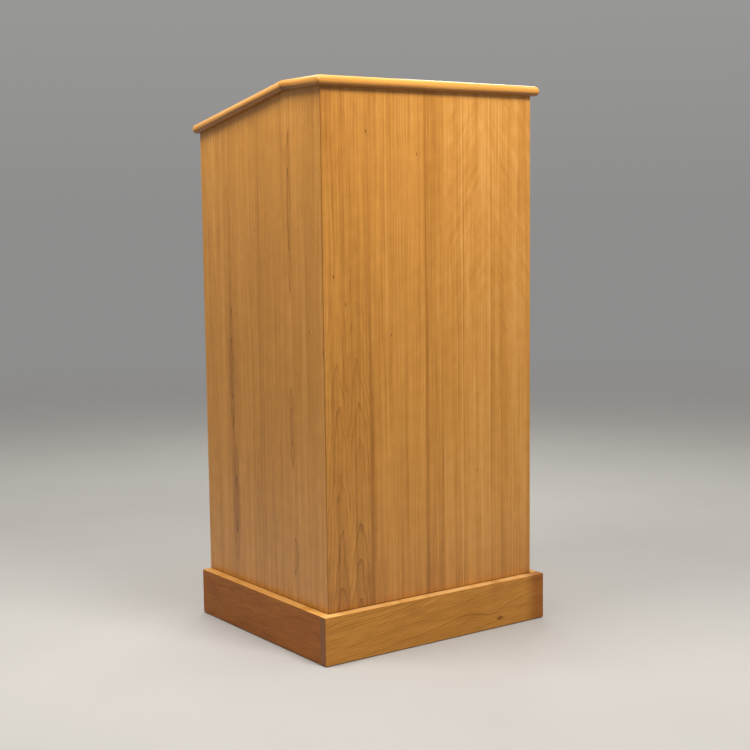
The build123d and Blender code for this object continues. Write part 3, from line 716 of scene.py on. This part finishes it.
def edging(part, place, length, bend, eased, end_name, materials):
    """The three mouldings round one part of the top: across its end and along its two sides.

    bend is how a side's end at the break leans as it rises: -1 past the break, 1 short of it.
    """
    stations = corner_stations(edging_section(eased))
    end_wood, side_wood = materials
    across = [
        [place(side * (TOP_RIGHT - along), length - inset, h) for inset, along, h in ring]
        for side, rings in ((-1, stations[::-1]), (1, stations))
        for ring in rings
    ]
    finish_edging(loft(f"{end_name}_edging", across, end_wood), f"top_{end_name}_nosing")
    for side, word in ((-1, "left"), (1, "right")):
        at_break = [
            place(side * (TOP_RIGHT - inset), bend * h * tan(SLOPE / 2), h)
            for inset, along, h in stations[0]
        ]
        run = [at_break] + [
            [place(side * (TOP_RIGHT - inset), length - along, h) for inset, along, h in ring]
            for ring in stations
        ]
        piece = loft(f"{word}_{part}_edging", run, side_wood)
        finish_edging(piece, f"top_{word}_{part}_nosing")


FRONT_CORNER = (TOP_RIGHT, Y, BREAK_Y - LEVEL_LENGTH)
REAR_CORNER = (TOP_RIGHT, DOWN_SLOPE, SLOPE_LENGTH + DOWN_SLOPE.dot(slope_place(0, 0, 0)))
edging(
    "level", level_place, LEVEL_LENGTH, -1, 0.0, "front",
    (moulding_wood("cherry_front_edging", Y, X, Z, 2.1, FRONT_CORNER),
     level_side_wood(FRONT_CORNER)),
)
edging(
    "slope", slope_place, SLOPE_LENGTH, 1, EASED_EDGE, "rear",
    (moulding_wood("cherry_rear_edging", DOWN_SLOPE, X, SLOPE_UP, 6.1, REAR_CORNER),
     moulding_wood("cherry_slope_edging", X, DOWN_SLOPE, SLOPE_UP, 4.1, REAR_CORNER)),
)

# ---------------------------------------------------------------- the CAD nodes' materials
# The two top panels are painted darker than the rest: painted shade against the strong light on
# the top.
SHADED_TOP_TONE = 0.38
SHELF_TONE = 0.60
STRIP_TONE = 0.52
KNOB_TONE = 0.46
dress(front_veneer(), "front_panel")
dress(side_veneer("cherry_left_veneer", -1, LEFT_SPINDLES), "left_side_panel")
dress(side_veneer("cherry_right_veneer", 1, RIGHT_SPINDLES), "right_side_panel")
dress(plain_veneer("cherry_door_left", X, Z, Y, 11.0), "left_door_panel")
dress(plain_veneer("cherry_door_right", X, Z, Y, 14.0), "right_door_panel")
dress(
    plain_veneer("cherry_level_top", Y, X, Z, 17.0, SHADED_TOP_TONE, RUBBED_VARNISH), "level_top_panel"
)
dress(
    plain_veneer("cherry_reading", DOWN_SLOPE, X, SLOPE_UP, 19.0, SHADED_TOP_TONE, RUBBED_VARNISH),
    "reading_panel",
)
dress(
    plain_veneer("cherry_shelf", Y, X, Z, 23.0, SHELF_TONE),
    "bottom_panel", "fixed_shelf", "adjustable_shelf",
)
dress(plinth_front_wood(), "plinth_front")
dress(plinth_side_wood("cherry_plinth_left", 31.0), "plinth_left")
dress(plinth_side_wood("cherry_plinth_right", 37.0), "plinth_right")
dress(
    plain_veneer("cherry_upright_strips", X, Z, Y, 41.0, STRIP_TONE),
    "left_rear_lipping", "right_rear_lipping", "left_door_lipping", "right_door_lipping",
)
dress(
    plain_veneer("cherry_level_strips", Z, X, Y, 43.0, STRIP_TONE),
    "bottom_panel_lipping", "fixed_shelf_lipping", "adjustable_shelf_lipping",
    "rear_top_rail", "rear_toe_rail",
)
dress(plain_veneer("cherry_knobs", X, Z, Y, 47.0, KNOB_TONE), "left_knob", "right_knob")
dress(
    bare_wood("bare_poplar"),
    "front_top_cleat", "left_top_cleat", "right_top_cleat", "corner_blocks",
)
BRASS = metal("polished_brass", (0.42, 0.25, 0.07), (0.78, 0.55, 0.22), 0.24, (300.0, 300.0, 30.0))
ZINC = metal("zinc_plate", (0.42, 0.43, 0.45), (0.75, 0.76, 0.78), 0.32, (600.0, 600.0, 200.0))
STEEL = metal("ground_steel", (0.20, 0.20, 0.21), (0.42, 0.42, 0.43), 0.38, (30.0, 900.0, 900.0))
for word in ("left", "right"):
    dress(
        BRASS,
        f"{word}_hinge_frame_leaves", f"{word}_hinge_door_leaves", f"{word}_hinge_pins",
        f"{word}_door_leaf_screws",
    )
    dress(ZINC, f"{word}_knob_bolt", f"{word}_strike_plate", f"{word}_strike_screw")
dress(BRASS, "frame_leaf_screws")
dress(ZINC, "shelf_pins", "cleat_screws", "top_screws", "plinth_screws", "catch_screws")
dress(STEEL, "catch_magnets")
BROWN = moulded("brown_plastic", (0.045, 0.022, 0.010), (0.085, 0.045, 0.024), 900.0)
BLACK = moulded("black_plastic", (0.008, 0.008, 0.009), (0.03, 0.03, 0.03), 700.0)
dress(BROWN, "catch_housings")
dress(BLACK, "glides")


# ---------------------------------------------------------------- floor, light and camera
# Each light's name, place, diameter and watts. All of them face the middle of the body.
LIGHTS = (
    ("front_key", (0.0, -1.30, 2.2), 0.6, 35.5),
    ("left_box", (-0.85, 0.0, 2.25), 0.7, 30),
    ("overhead", (0.1, -0.45, 2.5), 1.1, 8),
    ("back", (0.3, 1.4, 2.9), 1.4, 20),
    ("rim", (1.75, 1.55, 2.1), 0.6, 9),
)
LIGHT_TARGET = (0, 0, 0.9)
LIGHT_COLOUR = (1.0, 0.985, 0.96)
FLOOR_REACH = 6.0
FADE_START = 0.35 * FLOOR_REACH
FLOOR_DARK = (0.43, 0.415, 0.39)
FLOOR_LIGHT = (0.47, 0.455, 0.43)
HORIZON = (0.52, 0.515, 0.51)
ZENITH = (1.0, 0.99, 0.97)
SKY_STRENGTH = 0.52
ZENITH_HEIGHT = 0.8
EYE = (-1.8016, -2.5588, 0.8998)
YAW, PITCH, ROLL = radians(35.51), radians(-6.478), radians(-0.682)
SENSOR_WIDTH = 36.0
FOCAL_LENGTH = 67.99
FAR_ENOUGH = 60.0


def floor():
    """A plain pale floor that fades into the background before any view reaches its edge."""
    mesh = bpy.data.meshes.new("studio_floor")
    mesh.from_pydata(
        [(x * FLOOR_REACH, y * FLOOR_REACH, 0) for x, y in ((-1, -1), (1, -1), (1, 1), (-1, 1))],
        [], [(0, 1, 2, 3)],
    )
    plane = bpy.data.objects.new("studio_floor", mesh)
    bpy.context.collection.objects.link(plane)
    graph = Graph("pale_floor")
    x, y = graph.along(X), graph.along(Y)
    cloud = graph.noise(x * 3.0, y * 3.0, detail=4.0)
    colour = graph.ramp(0.5 + 0.5 * cloud, (0.0, FLOOR_DARK), (1.0, FLOOR_LIGHT))
    mesh.materials.append(graph.finish(colour, None, 0.0, 0.85 + 0.05 * cloud))
    away = graph.math("SQRT", x * x + y * y)
    graph.feed(graph.shader.inputs["Alpha"], graph.step(away, FLOOR_REACH, FADE_START))


def area_light(name, place, size, watts):
    lamp = bpy.data.lights.new(name, "AREA")
    lamp.shape = "DISK"
    lamp.size = size
    lamp.energy = watts
    lamp.color = LIGHT_COLOUR
    holder = bpy.data.objects.new(name, lamp)
    holder.location = place
    aim = Vector(LIGHT_TARGET) - Vector(place)
    holder.rotation_euler = aim.to_track_quat("-Z", "Y").to_euler()
    bpy.context.collection.objects.link(holder)


def studio():
    """The soft lights, and a pale sky that meets the colour of the floor's far edge."""
    for light in LIGHTS:
        area_light(*light)
    world = bpy.data.worlds.new("studio")
    world.use_nodes = True
    nodes, links = world.node_tree.nodes, world.node_tree.links
    place = nodes.new("ShaderNodeTexCoord")
    height = nodes.new("ShaderNodeSeparateXYZ")
    sky = nodes.new("ShaderNodeValToRGB")
    low, high = sky.color_ramp.elements
    low.position, low.color = 0.0, (*HORIZON, 1.0)
    high.position, high.color = ZENITH_HEIGHT, (*ZENITH, 1.0)
    links.new(place.outputs["Generated"], height.inputs[0])
    links.new(height.outputs["Z"], sky.inputs["Fac"])
    links.new(sky.outputs["Color"], nodes["Background"].inputs["Color"])
    nodes["Background"].inputs["Strength"].default_value = SKY_STRENGTH
    bpy.context.scene.world = world


def camera():
    """Standing eye of the audience, front left of the lectern, looking slightly down."""
    lens = bpy.data.cameras.new("camera")
    lens.sensor_width = SENSOR_WIDTH
    lens.lens = FOCAL_LENGTH
    lens.clip_end = FAR_ENOUGH
    eye = bpy.data.objects.new("camera", lens)
    eye.matrix_world = (
        Matrix.Translation(EYE)
        @ Matrix.Rotation(-YAW, 4, "Z")
        @ Matrix.Rotation(pi / 2 + PITCH, 4, "X")
        @ Matrix.Rotation(ROLL, 4, "Z")
    )
    bpy.context.collection.objects.link(eye)
    bpy.context.scene.camera = eye


floor()
studio()
camera()
bpy.context.scene.view_settings.view_transform = "Standard"
bpy.context.scene.view_settings.look = "None"
